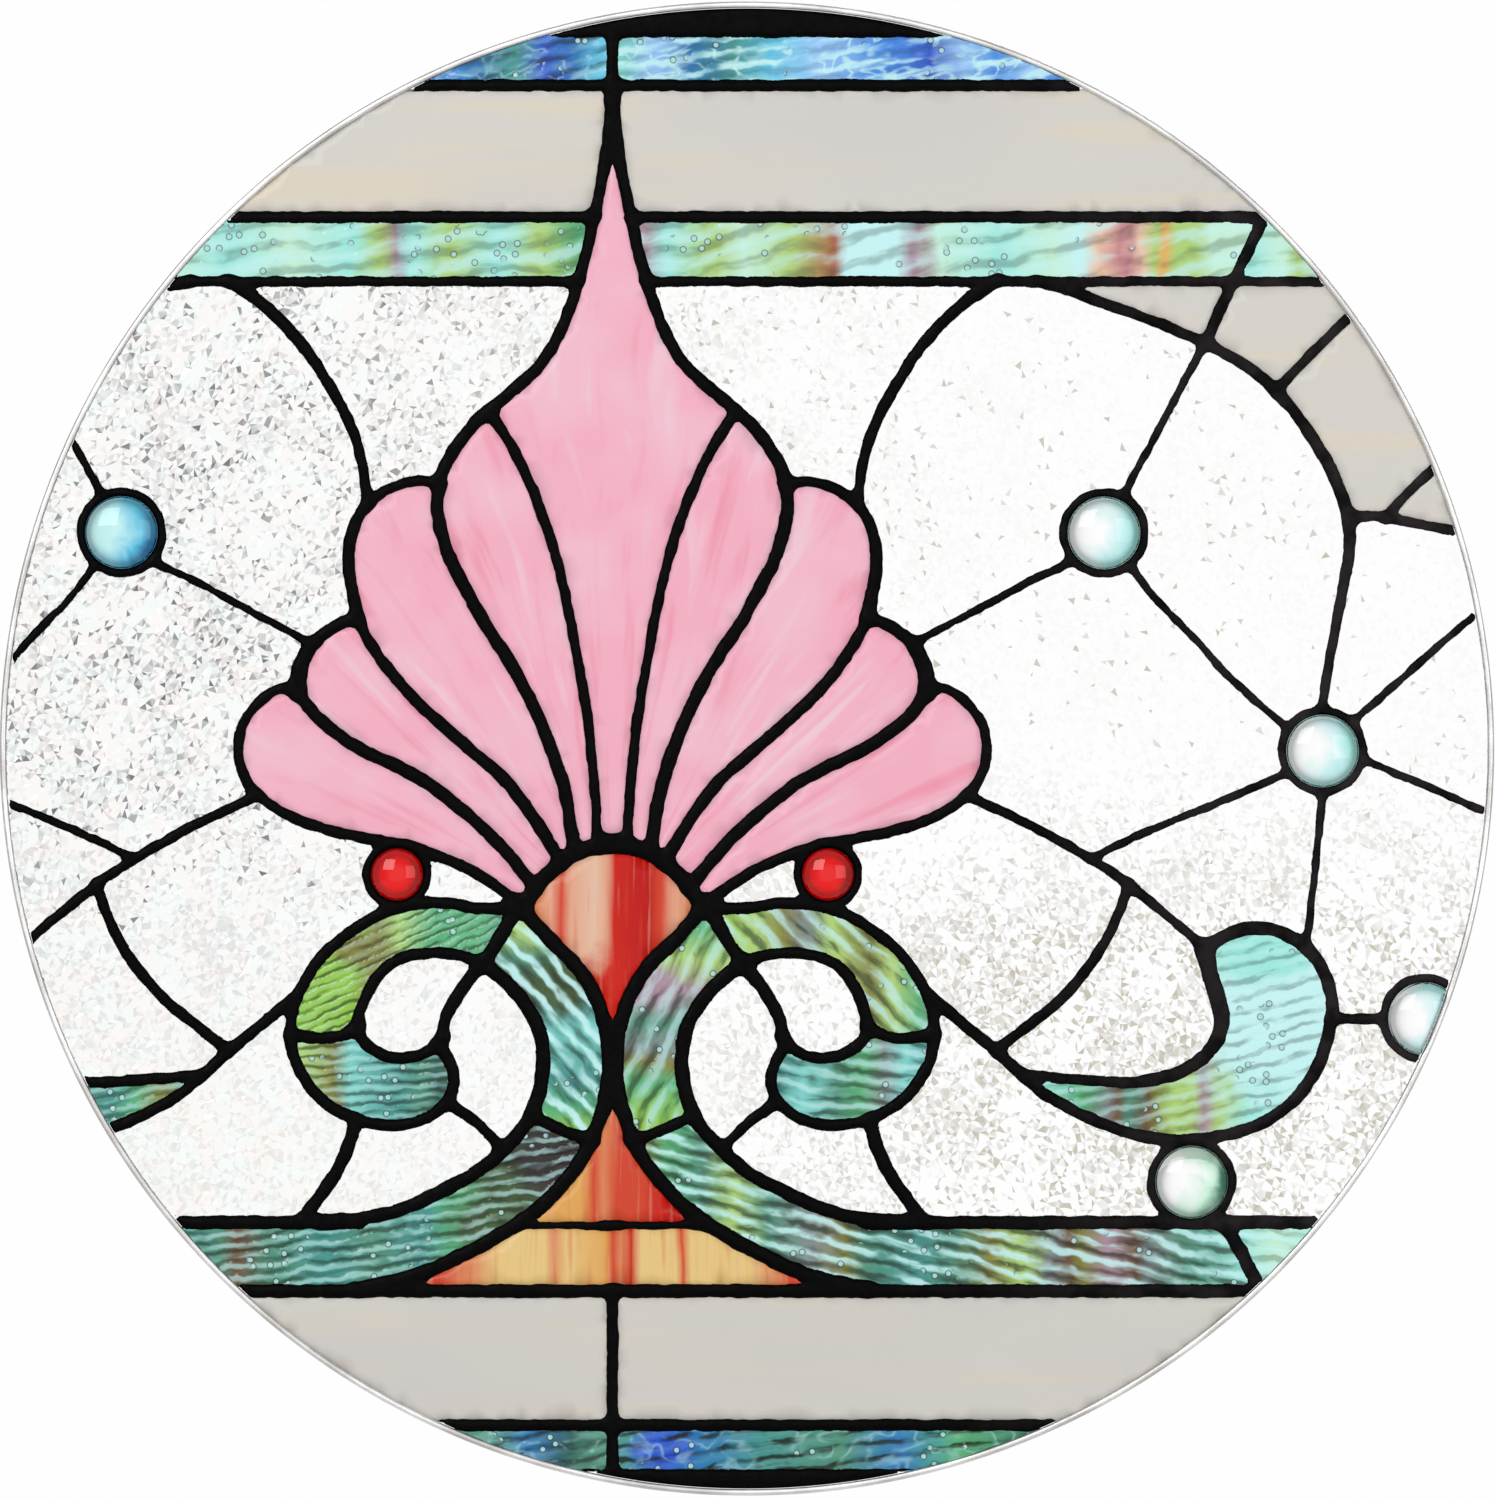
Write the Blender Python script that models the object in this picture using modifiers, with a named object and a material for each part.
"""Round leaded-glass window: a fan of pink glass over a pair of green scrolls, on clear textured glass.

The window stands upright in the XZ plane and is seen from -Y, with +Z up. Its origin is on the
back of the edge came, at the lowest point of the window, where the came bears on the rebate.

The lead lines are drawn as a cartoon, the full-size drawing that a glazier works from. The cartoon
is in pixels of the photograph, x to the right and y down, and its right half is mirrored to the left.
The leads become one soldered lattice, and each opening between them takes one pane.
"""

import math

import bmesh
import bpy
import numpy as np
from mathutils import Vector
from mathutils.geometry import delaunay_2d_cdt, intersect_point_tri_2d

# Driving sizes, in metres.
WINDOW_DIAMETER = 0.600
CAME_FACE = 0.0025
CAME_THICKNESS = 0.0064
CAME_WALL = 0.0008
LATTICE_THICKNESS = 0.0050
STRIP_THICKNESS = 0.0005
PANE_THICKNESS = 0.0030
CLEARANCE = 0.0003
LARGE_JEWEL_DIAMETER = 0.0292
SMALL_JEWEL_DIAMETER = 0.0210
JEWEL_DOME_HEIGHT = 0.0055
COLLAR_WIDTH = 0.0034

# Widths of the soldered lines, in metres.
WIDE = 0.0072
HEAVY = 0.0060
FULL = 0.0054
MEDIUM = 0.0047
SLIM = 0.0041
FINE = 0.0032

# How finely the round shapes are cut into flats.
CHORD_ERROR = 0.0009
CAME_FLATS = 60
LATTICE_RIM_FLATS = 60
COLLAR_FLATS = 16
JEWEL_FLATS = 16
JEWEL_RINGS = 2
SPLINE_STEPS = 12
SPARED = 0.0001
SNAP = 0.000001
SMALLEST_PANE = 0.00002

# Where the window lies in the photograph, in its pixels.
PHOTO_CENTRE = (747.0, 748.5)
PHOTO_RADIUS = 747.0
PHOTO_AXIS = 612.5
TOP_BORDER_EDGE = 37.5
BOTTOM_BORDER_EDGE = 1469.0

WINDOW_RADIUS = WINDOW_DIAMETER / 2
METRES_PER_PIXEL = WINDOW_RADIUS / PHOTO_RADIUS
CAME_FLATNESS = math.cos(math.pi / CAME_FLATS)
LATTICE_RADIUS = (WINDOW_RADIUS - CAME_FACE) * CAME_FLATNESS - CLEARANCE
PANE_RADIUS = (WINDOW_RADIUS - CAME_WALL) * CAME_FLATNESS - CLEARANCE
GROOVE_WIDTH = PANE_THICKNESS + 2 * CLEARANCE
CENTRE_HEIGHT = WINDOW_RADIUS - CAME_FACE / 2
MID_PLANE = -CAME_THICKNESS / 2

# The straight level leads: how far down the cartoon, their width, and where they start right of the axis.
BANDS = {
    "blue_over_cream": (85.5, MEDIUM, PHOTO_AXIS),
    "cream_over_green": (217.0, MEDIUM, 631),
    "green_over_clear": (281.5, SLIM, 646),
    "clear_over_ribbon": (1222.5, FULL, 866),
    "ribbon_over_cream": (1291.0, FULL, PHOTO_AXIS),
    "cream_over_blue": (1425.0, MEDIUM, PHOTO_AXIS),
}

# The upright leads on the axis: top, bottom, width.
MULLIONS = {
    "top": (20.0, 100.0, MEDIUM),
    "bottom": (1291.0, 1485.0, MEDIUM),
}

# The centres of the round jewels.
LARGE_JEWELS = {
    "jewel_blue": (121.5, 532.5),
    "jewel_aqua_top": (1104.0, 533.0),
    "jewel_aqua_middle": (1322.5, 751.0),
    "jewel_aqua_edge": (1424.5, 1018.5),
    "jewel_grey": (1191.5, 1182.0),
}
SMALL_JEWELS = {
    "jewel_red_left": (397.0, 874.5),
    "jewel_red_right": (828.0, 874.5),
}

# The curved leads of the right half: width at the first point, at the last, and the points.
CURVES = {
    # The fan's outline, from the spire down round its four lobes.
    "spire": (MEDIUM, FULL, [(613, 84), (616, 125), (621, 168), (630, 212), (641, 262), (660, 321),
                             (686, 366), (724, 400), (752, 425), (776, 458), (787, 484)]),
    "lobe_2": (SLIM, FULL, [(786, 484), (803, 481), (823, 484), (845, 494), (864, 513), (875, 541),
                            (876, 567), (872, 595), (868, 618)]),
    "lobe_3": (MEDIUM, WIDE, [(868, 617), (886, 624), (904, 636), (918, 652), (926, 672), (928, 692)]),
    "lobe_4": (SLIM, MEDIUM, [(927, 689), (946, 689), (966, 702), (981, 722), (987, 750), (979, 780),
                              (960, 801), (930, 819), (893, 831), (850, 840), (812, 847), (782, 858),
                              (753, 871), (728, 887), (706, 903)]),
    # The ribs between its petals.
    "rib_1": (MEDIUM, SLIM, [(735, 412), (706, 460), (680, 522), (663, 580), (649, 650), (638, 715),
                             (631, 780), (627, 842)]),
    "rib_2": (FULL, FULL, [(786, 484), (787, 515), (775, 558), (743, 619), (705, 679), (677, 740),
                           (660, 792), (651, 848)]),
    "rib_3": (MEDIUM, FULL, [(869, 617), (846, 657), (812, 698), (767, 739), (722, 778), (690, 820),
                             (664, 862)]),
    "rib_4": (FULL, FULL, [(928, 690), (907, 718), (868, 747), (806, 778), (753, 818), (716, 855),
                           (690, 888)]),
    "heart_arch": (WIDE, HEAVY, [(606, 843), (640, 849), (662, 861), (682, 879), (704, 911)]),
    # The scroll: its ribbon, the curl at its head and the bars across it.
    "ribbon_outer": (HEAVY, HEAVY, [(705, 904), (690, 923), (672, 943), (651, 963), (636, 984),
                                    (625, 1008), (618, 1036), (616, 1065), (619, 1095), (627, 1124),
                                    (639, 1152), (657, 1178), (685, 1207), (722, 1233), (766, 1257),
                                    (813, 1277), (868, 1289)]),
    "ribbon_inner": (HEAVY, FULL, [(742, 963), (721, 980), (702, 1001), (688, 1025), (682, 1051),
                                   (683, 1079), (690, 1106), (704, 1131), (724, 1152), (749, 1173),
                                   (781, 1190), (818, 1207), (858, 1218), (905, 1222)]),
    "curl_outer": (MEDIUM, MEDIUM, [(706, 903), (724, 908), (748, 908), (781, 903), (814, 905),
                                    (845, 914), (872, 930), (896, 949), (916, 974), (930, 1003),
                                    (935, 1034), (930, 1060), (914, 1088), (887, 1111), (850, 1124),
                                    (818, 1124), (790, 1113), (773, 1092), (773, 1068), (786, 1044)]),
    "curl_inner": (MEDIUM, MEDIUM, [(742, 963), (766, 955), (794, 953), (820, 957), (840, 968),
                                    (854, 986), (864, 1008), (867, 1030), (857, 1046), (836, 1057),
                                    (812, 1057), (795, 1050), (780, 1037)]),
    "scroll_spoke": (HEAVY, MEDIUM, [(706, 903), (726, 939), (744, 965), (763, 989), (778, 1015),
                                     (786, 1043)]),
    "curl_bar": (MEDIUM, MEDIUM, [(866, 1026), (885, 1036), (908, 1038), (934, 1034)]),
    "ribbon_bar": (MEDIUM, MEDIUM, [(630, 1141), (663, 1130), (692, 1116)]),
    "curl_stay": (MEDIUM, SLIM, [(775, 1104), (748, 1123), (722, 1149)]),
    "curl_foot": (FULL, FULL, [(869, 1120), (877, 1148), (888, 1171), (904, 1195), (924, 1221)]),
    "base_bar": (FINE, FINE, [(606, 1225.5), (704, 1225.5)]),
    # The net of fine leads on the clear ground.
    "shoulder": (FULL, SLIM, [(998, 280), (968, 300), (945, 320), (920, 348), (897, 383), (877, 420),
                              (864, 458), (857, 504)]),
    "arch": (SLIM, FULL, [(1035, 281), (1064, 289), (1100, 302), (1140, 316), (1180, 332),
                          (1215, 348), (1249, 368), (1281, 396), (1306, 428), (1326, 460),
                          (1341, 493), (1350, 520)]),
    "arch_foot": (FULL, FINE, [(1350, 519), (1349, 552), (1341, 600), (1332, 645), (1325, 688),
                               (1322, 715), LARGE_JEWELS["jewel_aqua_middle"]]),
    "arch_sill": (SLIM, SLIM, [(1350, 516), (1382, 517), (1420, 524), (1485, 537)]),
    "wedge_1": (MEDIUM, MEDIUM, [(1267, 212), (1252, 243), (1238, 272), (1222, 305), (1205, 344)]),
    "wedge_2": (SLIM, SLIM, [(1276, 391), (1304, 361), (1346, 320), (1385, 283)]),
    "wedge_3": (SLIM, SLIM, [(1386, 518), (1400, 501), (1421, 480), (1460, 443)]),
    "stay_1": (FINE, FINE, [(1205, 344), (1184, 381), (1164, 420), (1142, 460), (1124, 494),
                            LARGE_JEWELS["jewel_aqua_top"]]),
    "stay_2": (FINE, FINE, [LARGE_JEWELS["jewel_aqua_top"], (1072, 561), (1030, 581), (995, 600),
                            (958, 620), (914, 643)]),
    "stay_3": (FINE, FINE, [LARGE_JEWELS["jewel_aqua_top"], (1128, 563), (1156, 599), (1196, 640),
                            (1232, 680), (1292, 732), LARGE_JEWELS["jewel_aqua_middle"]]),
    "stay_4": (FINE, FINE, [LARGE_JEWELS["jewel_aqua_middle"], (1350, 724), (1377, 701), (1400, 680),
                            (1444, 641), (1505, 590)]),
    "stay_5": (FINE, FINE, [LARGE_JEWELS["jewel_aqua_middle"], (1357, 758), (1400, 775), (1440, 792),
                            (1510, 822)]),
    "stay_6": (FINE, FINE, [LARGE_JEWELS["jewel_aqua_middle"], (1290, 771), (1248, 790), (1200, 810),
                            (1146, 832), (1092, 858)]),
    "stay_7": (FINE, FINE, [LARGE_JEWELS["jewel_aqua_middle"], (1323, 785), (1319, 830), (1314, 880),
                            (1306, 950)]),
    "vein": (SLIM, SLIM, [(968, 796), (1020, 820), (1060, 841), (1094, 861), (1124, 881),
                          (1150, 902), (1176, 923), (1206, 950)]),
    "vein_branch": (SLIM, MEDIUM, [(1128, 884), (1121, 908), (1106, 940), (1087, 969), (1059, 1001),
                                   (1030, 1024), (996, 1051)]),
    # The leaf at the right, and the link to the jewel beside it.
    "leaf_outer": (MEDIUM, FULL, [(932, 998), (959, 1020), (980, 1038), (1002, 1056), (1022, 1075),
                                  (1042, 1092), (1068, 1108), (1100, 1123), (1140, 1136), (1185, 1140),
                                  (1230, 1134), (1268, 1120), (1298, 1096), (1318, 1066), (1329, 1034),
                                  (1332, 1002), (1324, 972), (1306, 948), (1280, 932), (1252, 928),
                                  (1227, 935), (1206, 949)]),
    "leaf_inner": (WIDE, SLIM, [(1204, 948), (1210, 975), (1219, 1003), (1221, 1028), (1208, 1053),
                                (1180, 1072), (1140, 1082), (1100, 1081), (1060, 1078), (1024, 1074)]),
    "leaf_link": (SLIM, SLIM, [(1332, 1019), LARGE_JEWELS["jewel_aqua_edge"]]),
    "ribbon_joint": (FULL, FULL, [(1222, 1222), (1240, 1250), (1250, 1270), (1262, 1294)]),
}

# Leads that lie over a pane that runs on beneath them, as a thin strip on either face of it.
OVERLAID = [
    "arch_foot",
    "wedge_2",
    "wedge_3",
    "stay_1",
    "stay_4",
    "stay_5",
    "stay_6",
    "vein_branch",
    "curl_stay",
    "curl_foot",
]

# The glass: colour, roughness, and how see-through it is.
GLASS = {
    "clear": ((0.90, 0.92, 0.93, 1), 0.05, 0.35),
    "pink": ((0.82, 0.36, 0.48, 1), 0.30, 1.0),
    "cream": ((0.66, 0.62, 0.56, 1), 0.35, 1.0),
    "blue": ((0.10, 0.30, 0.60, 1), 0.12, 1.0),
    "aqua": ((0.42, 0.76, 0.72, 1), 0.12, 1.0),
    "green": ((0.16, 0.42, 0.36, 1), 0.12, 1.0),
    "amber": ((0.78, 0.30, 0.10, 1), 0.25, 1.0),
    "red": ((0.72, 0.02, 0.02, 1), 0.05, 1.0),
    "pearl": ((0.62, 0.70, 0.68, 1), 0.10, 1.0),
}

# The metals: colour, roughness and metallic value.
METALS = {
    "zinc": ((0.62, 0.63, 0.65, 1), 0.35, 1.0),
    "solder": ((0.012, 0.012, 0.014, 1), 0.45, 0.6),
}

# A point inside each pane, and its glass. The paired panes have a twin across the axis.
PAIRED_PANES = {
    "glass_petal_inner": ((708, 610), "pink"),
    "glass_petal_tall": ((800, 600), "pink"),
    "glass_petal_short": ((860, 700), "pink"),
    "glass_petal_low": ((900, 770), "pink"),
    "glass_shoulder": ((780, 380), "clear"),
    "glass_bud": ((765, 890), "clear"),
    "glass_scroll_head": ((800, 930), "green"),
    "glass_scroll_curl": ((880, 1065), "green"),
    "glass_scroll_eye": ((820, 1010), "clear"),
    "glass_scroll_stem": ((650, 1020), "green"),
    "glass_scroll_foot": ((900, 1256), "green"),
    "glass_cream_top": ((780, 150), "cream"),
    "glass_cream_bottom": ((760, 1360), "cream"),
    "glass_blue_top": ((690, 62), "blue"),
    "glass_blue_bottom": ((700, 1447), "blue"),
    "glass_band": ((900, 250), "aqua"),
    "glass_field_upper": ((1030, 400), "clear"),
    "glass_field_middle": ((1050, 740), "clear"),
    "glass_field_lower": ((990, 940), "clear"),
    "glass_field_bottom": ((1000, 1150), "clear"),
}
SINGLE_PANES = {
    "glass_petal_centre": ((612, 500), "pink"),
    "glass_heart": ((612, 930), "amber"),
    "glass_heart_point": ((612, 1190), "amber"),
    "glass_heart_base": ((612, 1258), "amber"),
    "glass_band_end_top": ((1280, 255), "aqua"),
    "glass_band_end_bottom": ((1280, 1250), "green"),
    "glass_arch_tip": ((1150, 300), "cream"),
    "glass_arch": ((1370, 400), "cream"),
    "glass_field_corner": ((1280, 1175), "clear"),
    "glass_leaf": ((1280, 1030), "aqua"),
    "glass_leaf_end": ((105, 1108), "aqua"),
}
JEWEL_GLASS = {
    "jewel_blue": "blue",
    "jewel_aqua_top": "aqua",
    "jewel_aqua_middle": "aqua",
    "jewel_aqua_edge": "aqua",
    "jewel_grey": "pearl",
    "jewel_red_left": "red",
    "jewel_red_right": "red",
}


def mirrored(point):
    return Vector((2 * PHOTO_AXIS - point[0], point[1]))


def on_plane(point):
    """A point of the cartoon, in metres from the window's centre, with +y up."""
    return (Vector(point) - Vector(PHOTO_CENTRE)) * METRES_PER_PIXEL * Vector((1, -1))


def smooth_path(points):
    """A smooth curve through the points, close enough together to measure."""
    ends = [2 * points[0] - points[1], *points, 2 * points[-1] - points[-2]]
    curve = []
    for before, start, end, after in zip(ends, ends[1:], ends[2:], ends[3:]):
        for step in range(SPLINE_STEPS):
            t = step / SPLINE_STEPS
            curve.append(
                start
                + (end - before) * (t / 2)
                + (2 * before - 5 * start + 4 * end - after) * (t**2 / 2)
                + (3 * start - before - 3 * end + after) * (t**3 / 2)
            )
    return [*curve, points[-1]]


def thinned(points, tolerance):
    """The points that a polyline needs to stay within the tolerance of the whole path."""
    if len(points) < 3:
        return points
    chord = points[-1] - points[0]
    length = max(chord.length, 1e-9)
    strays = [abs(chord.cross(point - points[0])) / length for point in points[1:-1]]
    widest = max(strays)
    if widest <= tolerance:
        return [points[0], points[-1]]
    split = strays.index(widest) + 1
    return thinned(points[: split + 1], tolerance)[:-1] + thinned(points[split:], tolerance)


def stroke_outline(path, first_width, last_width, margin):
    """The flat outline of a lead along a path, widened by the margin on each side."""
    left = []
    right = []
    for index, point in enumerate(path):
        before = path[max(index - 1, 0)]
        after = path[min(index + 1, len(path) - 1)]
        side = (after - before).orthogonal().normalized()
        mitre = 1.0
        if 0 < index < len(path) - 1:
            mitre = 1 / side.dot((after - point).orthogonal().normalized())
        share = index / (len(path) - 1)
        half = (first_width + (last_width - first_width) * share) / 2 + margin
        left.append(point + side * half * mitre)
        right.append(point - side * half * mitre)
    return left + right[::-1]


def circle_outline(centre, radius, flats):
    turns = [2 * math.pi * step / flats for step in range(flats)]
    return [centre + Vector((math.cos(turn), math.sin(turn))) * radius for turn in turns]


def box_outline(low_corner, high_corner):
    return [
        Vector(low_corner),
        Vector((high_corner[0], low_corner[1])),
        Vector(high_corner),
        Vector((low_corner[0], high_corner[1])),
    ]


def curve_paths(names):
    """The thinned paths of the named curves and their mirror images, with their widths."""
    paths = []
    for name in names:
        first_width, last_width, points = CURVES[name]
        for side in (points, [mirrored(point) for point in points]):
            path = thinned(smooth_path([on_plane(point) for point in side]), CHORD_ERROR)
            paths.append((path, first_width, last_width))
    return paths


def overlaid_outlines():
    """The outlines of the leads that only lie over the glass."""
    return [stroke_outline(path, first, last, 0) for path, first, last in curve_paths(OVERLAID)]


def jewel_centres():
    """The name, centre and diameter of every jewel."""
    jewels = []
    for name, centre in LARGE_JEWELS.items():
        jewels.append((name, on_plane(centre), LARGE_JEWEL_DIAMETER))
    for name, centre in SMALL_JEWELS.items():
        jewels.append((name, on_plane(centre), SMALL_JEWEL_DIAMETER))
    return jewels


def lead_outlines(margin):
    """The outlines of all that the solder covers from front to back."""
    reach = 1.1 * WINDOW_RADIUS
    outlines = []
    for level, width, start in BANDS.values():
        half = width / 2 + margin
        height = on_plane((0, level)).y
        right = on_plane((start, level)).x
        left = on_plane(mirrored((start, level))).x
        outlines.append(box_outline((right, height - half), (reach, height + half)))
        outlines.append(box_outline((-reach, height - half), (left, height + half)))
    for top, bottom, width in MULLIONS.values():
        high = on_plane((PHOTO_AXIS, top))
        low = on_plane((PHOTO_AXIS, bottom))
        half = width / 2 + margin
        outlines.append(box_outline((low.x - half, low.y), (high.x + half, high.y)))
    top_edge = on_plane((0, TOP_BORDER_EDGE)).y
    bottom_edge = on_plane((0, BOTTOM_BORDER_EDGE)).y
    outlines.append(box_outline((-reach, top_edge - margin), (reach, reach)))
    outlines.append(box_outline((-reach, -reach), (reach, bottom_edge + margin)))
    for path, first_width, last_width in curve_paths(name for name in CURVES if name not in OVERLAID):
        outlines.append(stroke_outline(path, first_width, last_width, margin))
    for _, centre, diameter in jewel_centres():
        outlines.append(circle_outline(centre, diameter / 2 + COLLAR_WIDTH + margin, COLLAR_FLATS))
    return outlines


def covers(outline, points):
    """Which of the points lie inside the outline."""
    xs, ys = points.T
    inside = np.zeros(len(points), dtype=bool)
    corners = np.array(outline)
    for (x1, y1), (x2, y2) in zip(corners, np.roll(corners, -1, axis=0)):
        crosses = (y1 > ys) != (y2 > ys)
        if y1 != y2:
            inside ^= crosses & (xs < (x2 - x1) * (ys - y1) / (y2 - y1) + x1)
    return inside


class Cartoon:
    """The disc of the window, parted by the outlines of its leads into small triangles."""

    def __init__(self, radius, leads, holes=()):
        rim = circle_outline(Vector((0, 0)), radius, LATTICE_RIM_FLATS)
        shapes = [rim, *leads, *holes]
        corners = [corner for shape in shapes for corner in shape]
        faces = []
        for shape in shapes:
            start = sum(len(face) for face in faces)
            faces.append(list(range(start, start + len(shape))))
        parted = delaunay_2d_cdt(corners, [], faces, 1, SNAP, True)
        self.corners = parted[0]
        self.triangles = parted[2]
        flat = np.array(self.corners)
        self.middles = np.array([flat[list(triangle)].mean(axis=0) for triangle in self.triangles])
        self.in_disc = covers(rim, self.middles)
        self.in_lead = np.zeros(len(self.middles), dtype=bool)
        for lead in leads:
            self.in_lead |= covers(lead, self.middles)
        for hole in holes:
            self.in_lead &= ~covers(hole, self.middles)

    def regions(self, wanted):
        """The wanted triangles in connected groups, the largest first."""
        owner = {}
        for index in np.nonzero(wanted)[0]:
            triangle = self.triangles[index]
            for start, end in zip(triangle, [*triangle[1:], triangle[0]]):
                owner[start, end] = index
        neighbours = {index: [] for index in owner.values()}
        for (start, end), index in owner.items():
            if (end, start) in owner:
                neighbours[index].append(owner[end, start])
        regions = []
        left = set(neighbours)
        while left:
            region = []
            front = [left.pop()]
            while front:
                index = front.pop()
                region.append(index)
                for following in neighbours[index]:
                    if following in left:
                        left.remove(following)
                        front.append(following)
            regions.append(region)
        return sorted(regions, key=self.area, reverse=True)

    def area(self, region):
        total = 0.0
        for index in region:
            first, second, third = (self.corners[corner] for corner in self.triangles[index])
            total += (second - first).cross(third - first) / 2
        return total

    def loops(self, region):
        """The closed outlines of a region, each without the corners that it can spare."""
        edges = set()
        for index in region:
            triangle = self.triangles[index]
            edges.update(zip(triangle, [*triangle[1:], triangle[0]]))
        following = {}
        for start, end in edges:
            if (end, start) not in edges:
                following.setdefault(start, []).append(end)
        loops = []
        while following:
            start = next(iter(following))
            loop = [start]
            while True:
                options = following[loop[-1]]
                end = options.pop()
                if not options:
                    del following[loop[-1]]
                if end == start:
                    break
                loop.append(end)
            points = [self.corners[corner] for corner in loop]
            half = len(points) // 2
            first_half = thinned(points[: half + 1], SPARED)
            second_half = thinned([*points[half:], points[0]], SPARED)
            points = first_half[:-1] + second_half[:-1]
            if len(points) > 2:
                loops.append(points)
        return loops


def region_at(cartoon, regions, point):
    """The region that holds a point of the window's plane."""
    for region in regions:
        for index in region:
            corners = [cartoon.corners[corner] for corner in cartoon.triangles[index]]
            if intersect_point_tri_2d(point, *corners):
                return region
    raise ValueError(f"no pane at {point}")


def clear_scene():
    for thing in list(bpy.data.objects):
        bpy.data.objects.remove(thing, do_unlink=True)


def new_material(name, colour, roughness, metallic, alpha):
    material = bpy.data.materials.new(name)
    material.use_nodes = True
    shader = material.node_tree.nodes["Principled BSDF"]
    shader.inputs["Base Color"].default_value = colour
    shader.inputs["Roughness"].default_value = roughness
    shader.inputs["Metallic"].default_value = metallic
    shader.inputs["Alpha"].default_value = alpha
    return material


def metal_material(name, kind):
    colour, roughness, metallic = METALS[kind]
    return new_material(name + "_finish", colour, roughness, metallic, 1.0)


def glass_material(name, kind):
    colour, roughness, alpha = GLASS[kind]
    return new_material(name + "_finish", colour, roughness, 0.0, alpha)


def stand_upright(thing, centre=Vector((0, 0)), rise=0.0):
    """Turns a piece drawn flat, with its front up, to stand in the window at a point of its plane."""
    thing.rotation_euler = (math.radians(90), 0, 0)
    thing.location = (centre.x, MID_PLANE - rise, CENTRE_HEIGHT + centre.y)


def flat_shape(name, loops, thickness):
    """A flat piece with the loops as its outline and holes, drawn in its own XY plane."""
    curve = bpy.data.curves.new(name, "CURVE")
    curve.dimensions = "2D"
    curve.fill_mode = "BOTH"
    curve.extrude = thickness / 2
    for loop in loops:
        spline = curve.splines.new("POLY")
        spline.points.add(len(loop) - 1)
        for point, corner in zip(spline.points, loop):
            point.co = (corner.x, corner.y, 0, 1)
        spline.use_cyclic_u = True
    return bpy.data.objects.new(name, curve)


def flat_solid(name, loops, thickness):
    """The same flat piece as a mesh, which a Boolean can work on."""
    corners = [corner for loop in loops for corner in loop]
    faces = []
    for loop in loops:
        start = sum(len(face) for face in faces)
        faces.append(list(range(start, start + len(loop))))
    parted = delaunay_2d_cdt(corners, [], faces, 1, SNAP, True)
    flat = np.array(parted[0])
    middles = np.array([flat[list(triangle)].mean(axis=0) for triangle in parted[2]])
    inside = np.zeros(len(middles), dtype=bool)
    for loop in loops:
        inside ^= covers(loop, middles)
    shape = bmesh.new()
    low = [shape.verts.new((corner.x, corner.y, -thickness / 2)) for corner in parted[0]]
    lid = [shape.faces.new([low[corner] for corner in parted[2][index]]) for index in np.nonzero(inside)[0]]
    raised = bmesh.ops.extrude_face_region(shape, geom=lid)["geom"]
    top = [part for part in raised if isinstance(part, bmesh.types.BMVert)]
    bmesh.ops.translate(shape, verts=top, vec=(0, 0, thickness))
    bmesh.ops.recalc_face_normals(shape, faces=shape.faces)
    mesh = bpy.data.meshes.new(name)
    shape.to_mesh(mesh)
    shape.free()
    return bpy.data.objects.new(name, mesh)


def turned_shape(name, profile, flats, closed):
    """A turned piece: the profile, as pairs of radius and height, goes round the Z axis."""
    mesh = bpy.data.meshes.new(name)
    edges = [(index, index + 1) for index in range(len(profile) - 1)]
    if closed:
        edges.append((len(profile) - 1, 0))
    mesh.from_pydata([(radius, 0, height) for radius, height in profile], edges, [])
    shape = bpy.data.objects.new(name, mesh)
    screw = shape.modifiers.new("turn", "SCREW")
    screw.axis = "Z"
    screw.angle = 2 * math.pi
    screw.steps = flats
    screw.render_steps = flats
    screw.use_merge_vertices = True
    screw.merge_threshold = SNAP
    screw.use_normal_flip = True
    screw.use_smooth_shade = False
    return shape


def cut_with(thing, tool, operation):
    """Joins a tool to a thing or cuts it with it, and files the tool with the cutters."""
    tool.hide_render = True
    tool.display_type = "WIRE"
    boolean = thing.modifiers.new(tool.name, "BOOLEAN")
    boolean.operation = operation
    boolean.solver = "EXACT"
    boolean.object = tool


def build_came(window):
    """The edge came: a ring of channel section that takes the edges of the outer panes."""
    outer = WINDOW_RADIUS
    inner = WINDOW_RADIUS - CAME_FACE
    floor = WINDOW_RADIUS - CAME_WALL
    half = CAME_THICKNESS / 2
    groove = GROOVE_WIDTH / 2
    profile = [
        (inner, -half),
        (outer, -half),
        (outer, half),
        (inner, half),
        (inner, groove),
        (floor, groove),
        (floor, -groove),
        (inner, -groove),
    ]
    came = turned_shape("edge_came", profile, CAME_FLATS, True)
    came.data.materials.append(metal_material("edge_came", "zinc"))
    stand_upright(came)
    window.objects.link(came)


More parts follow.
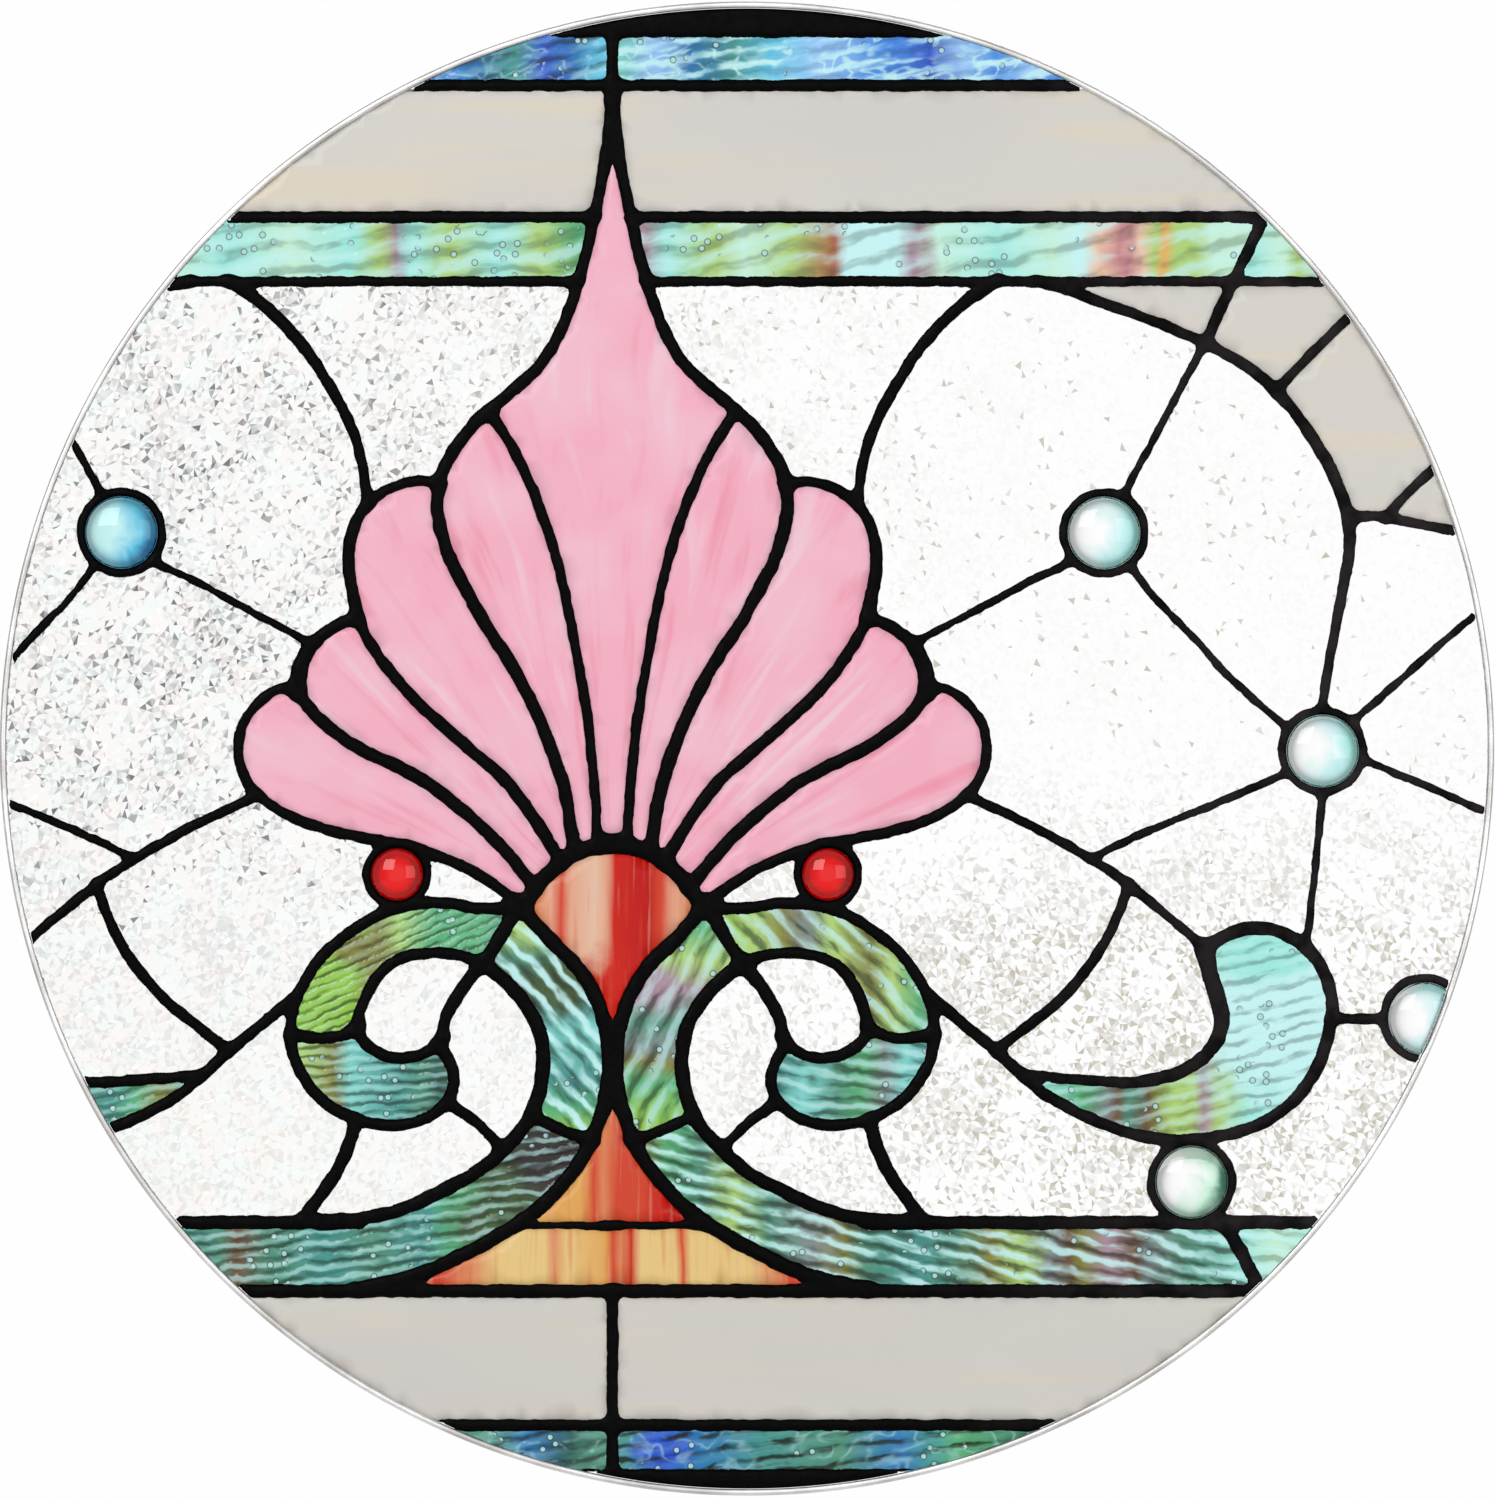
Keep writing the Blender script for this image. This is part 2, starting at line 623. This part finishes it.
def build_lattice(window, tools):
    """The soldered leads in one piece, with the strips that lie over the panes on both faces."""
    holes = []
    inside_collars = []
    for _, centre, diameter in jewel_centres():
        holes.append(circle_outline(centre, diameter / 2 + CLEARANCE, JEWEL_FLATS))
        inside_collars.append(circle_outline(centre, (diameter + COLLAR_WIDTH) / 2, JEWEL_FLATS))
    cartoon = Cartoon(LATTICE_RADIUS, lead_outlines(0), holes)
    body = cartoon.regions(cartoon.in_disc & cartoon.in_lead)[0]
    lattice = flat_solid("solder_lattice", cartoon.loops(body), LATTICE_THICKNESS)
    lattice.data.materials.append(metal_material("solder_lattice", "solder"))
    stand_upright(lattice)
    window.objects.link(lattice)
    strips = Cartoon(LATTICE_RADIUS, overlaid_outlines(), inside_collars)
    rise = (GROOVE_WIDTH + STRIP_THICKNESS) / 2
    for face, side in (("front", 1), ("back", -1)):
        for number, strip in enumerate(strips.regions(strips.in_disc & strips.in_lead)):
            if strips.area(strip) < SMALLEST_PANE:
                continue
            tool = flat_solid(f"strip_{face}_{number}", strips.loops(strip), STRIP_THICKNESS)
            stand_upright(tool, rise=side * rise)
            tools.objects.link(tool)
            cut_with(lattice, tool, "UNION")


def build_panes(window):
    """One flat pane in each opening of the cartoon, held clear of the leads around it."""
    cartoon = Cartoon(PANE_RADIUS, lead_outlines(CLEARANCE))
    openings = cartoon.regions(cartoon.in_disc & ~cartoon.in_lead)
    panes = {}
    for name, (seed, kind) in PAIRED_PANES.items():
        panes[name + "_right"] = (seed, kind)
        panes[name + "_left"] = (mirrored(seed), kind)
    panes.update(SINGLE_PANES)
    for name, (seed, kind) in panes.items():
        opening = region_at(cartoon, openings, on_plane(seed))
        pane = flat_shape(name, cartoon.loops(opening), PANE_THICKNESS)
        pane.data.materials.append(glass_material(name, kind))
        stand_upright(pane)
        window.objects.link(pane)


def build_jewels(window, tools):
    """The round pressed jewels: flat behind, domed in front, and cut where the rim crosses one."""
    for name, centre, diameter in jewel_centres():
        radius = diameter / 2
        back = -PANE_THICKNESS / 2
        shoulder = PANE_THICKNESS / 2
        profile = [(0, back), (radius, back)]
        for ring in range(JEWEL_RINGS + 1):
            turn = math.pi / 2 * ring / JEWEL_RINGS
            profile.append((radius * math.cos(turn), shoulder + JEWEL_DOME_HEIGHT * math.sin(turn)))
        profile[-1] = (0, shoulder + JEWEL_DOME_HEIGHT)
        jewel = turned_shape(name, profile, JEWEL_FLATS, False)
        jewel.data.materials.append(glass_material(name, JEWEL_GLASS[name]))
        stand_upright(jewel, centre)
        window.objects.link(jewel)
        if centre.length + radius > LATTICE_RADIUS:
            rim = circle_outline(Vector((0, 0)), LATTICE_RADIUS, LATTICE_RIM_FLATS)
            tool = flat_solid("rim_cutter", [rim], 4 * JEWEL_DOME_HEIGHT + PANE_THICKNESS)
            stand_upright(tool)
            tools.objects.link(tool)
            cut_with(jewel, tool, "INTERSECT")


def main():
    clear_scene()
    window = bpy.data.collections.new("leaded_window")
    tools = bpy.data.collections.new("cutters")
    for collection in (window, tools):
        bpy.context.scene.collection.children.link(collection)
    build_came(window)
    build_lattice(window, tools)
    build_panes(window)
    build_jewels(window, tools)
    tools.hide_render = True


main()
